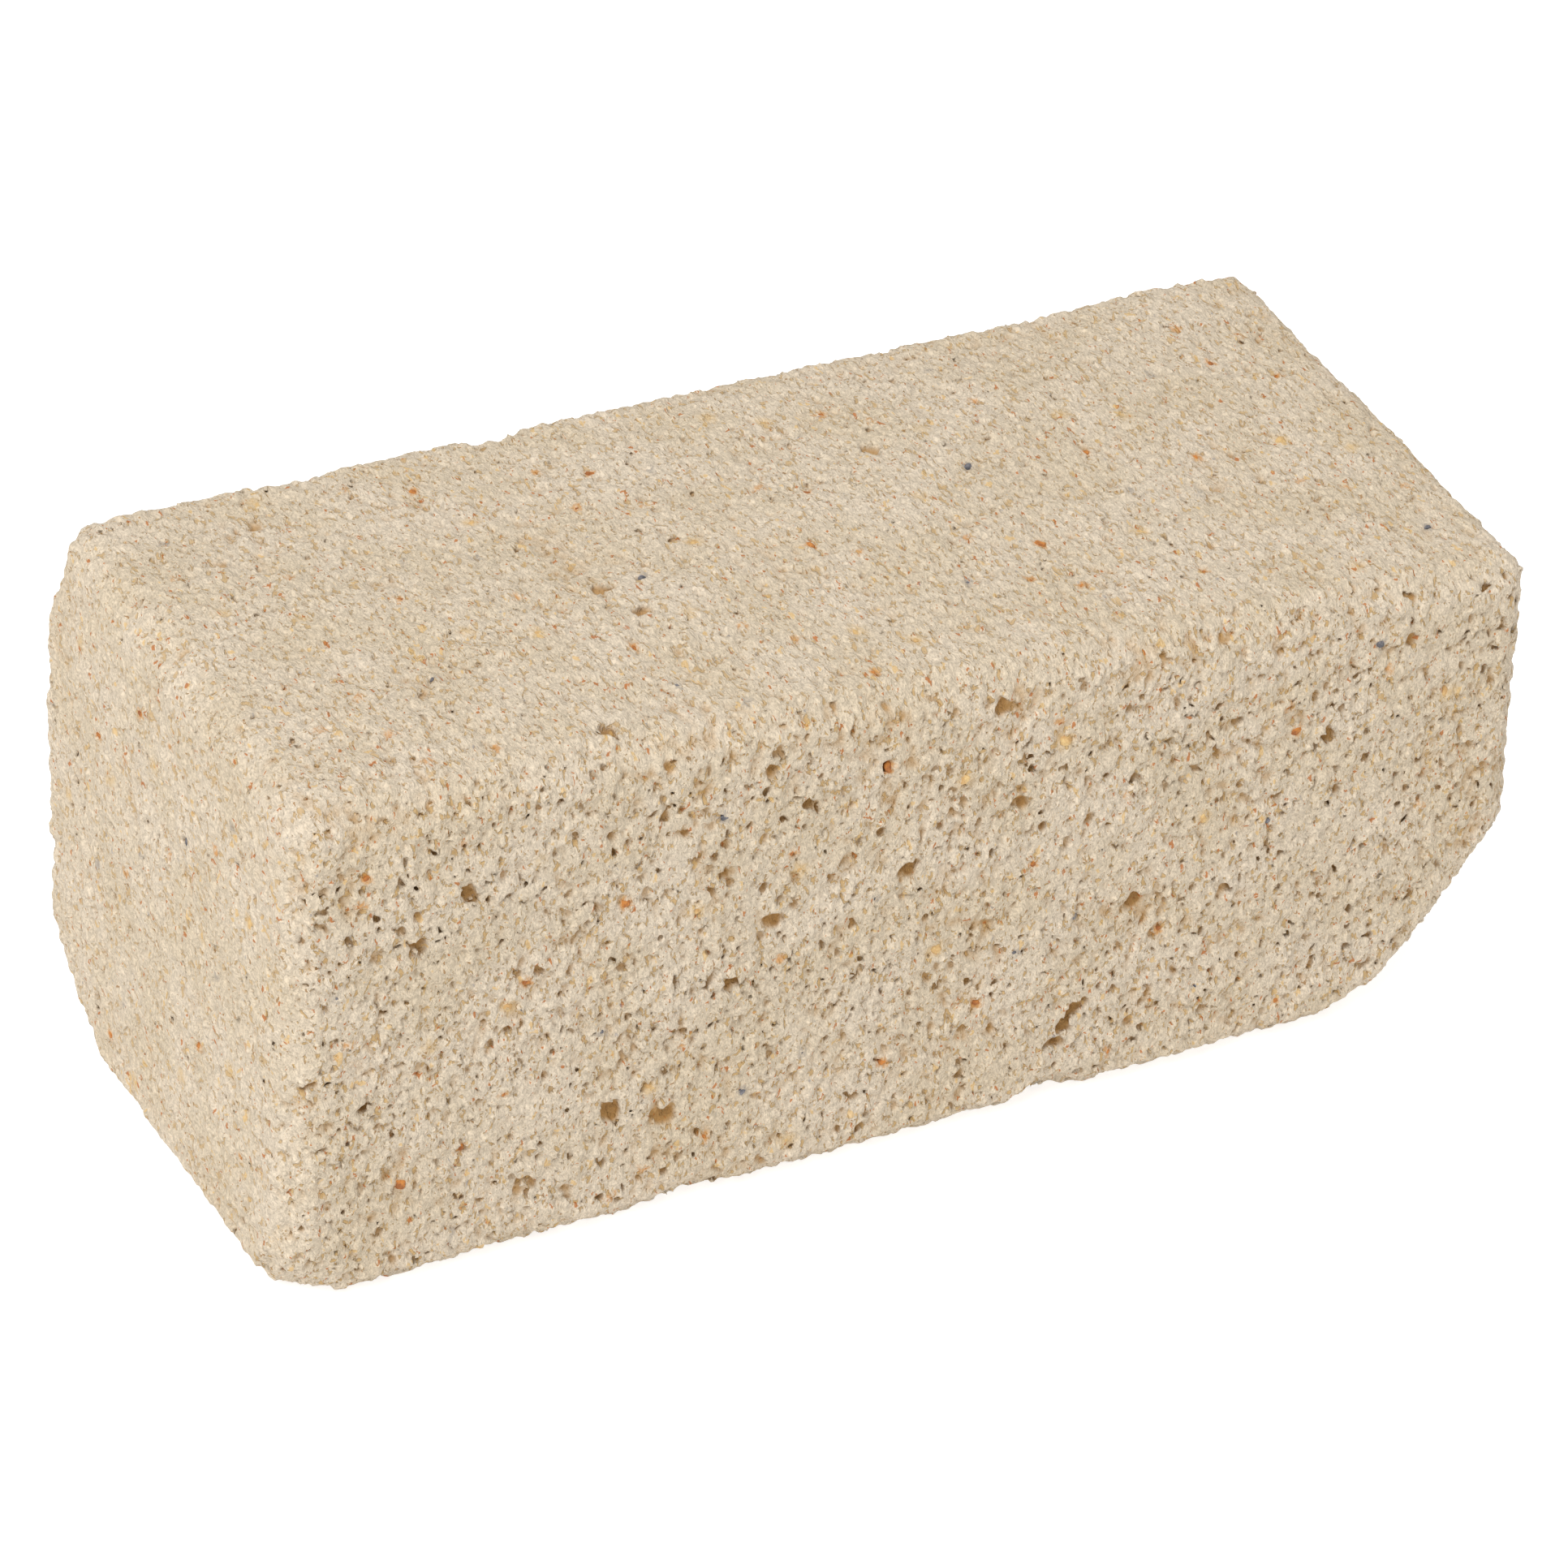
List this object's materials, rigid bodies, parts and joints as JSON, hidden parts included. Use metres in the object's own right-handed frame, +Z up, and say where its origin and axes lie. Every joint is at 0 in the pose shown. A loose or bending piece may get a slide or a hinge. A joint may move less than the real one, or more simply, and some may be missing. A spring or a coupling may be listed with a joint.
{
  "type": "gymnastics chalk block",
  "caption": "Hand-held rectangular bar of porous, crumbly grip chalk, rubbed onto the palms for a dry grip; rough sawn faces, rounded edges, one worn corner and small coloured mineral grains.",
  "frame": {"origin": "bottom centre of the bar's box, on the plane that its foot rests on", "axes": "+X along the bar, towards the end with the worn corner; +Y from the front face to the back face; +Z up"},
  "size_m": [0.0998, 0.0464, 0.0433],
  "materials": {
    "chalk": "matte, powdery and porous",
    "rust_mineral": "matte",
    "slate_mineral": "matte",
    "ochre_mineral": "matte"
  },
  "bodies": {
    "root": {"chalk_block": "chalk", "rust_grains": "rust_mineral", "slate_grains": "slate_mineral", "ochre_grains": "ochre_mineral"}
  },
  "joints": []
}
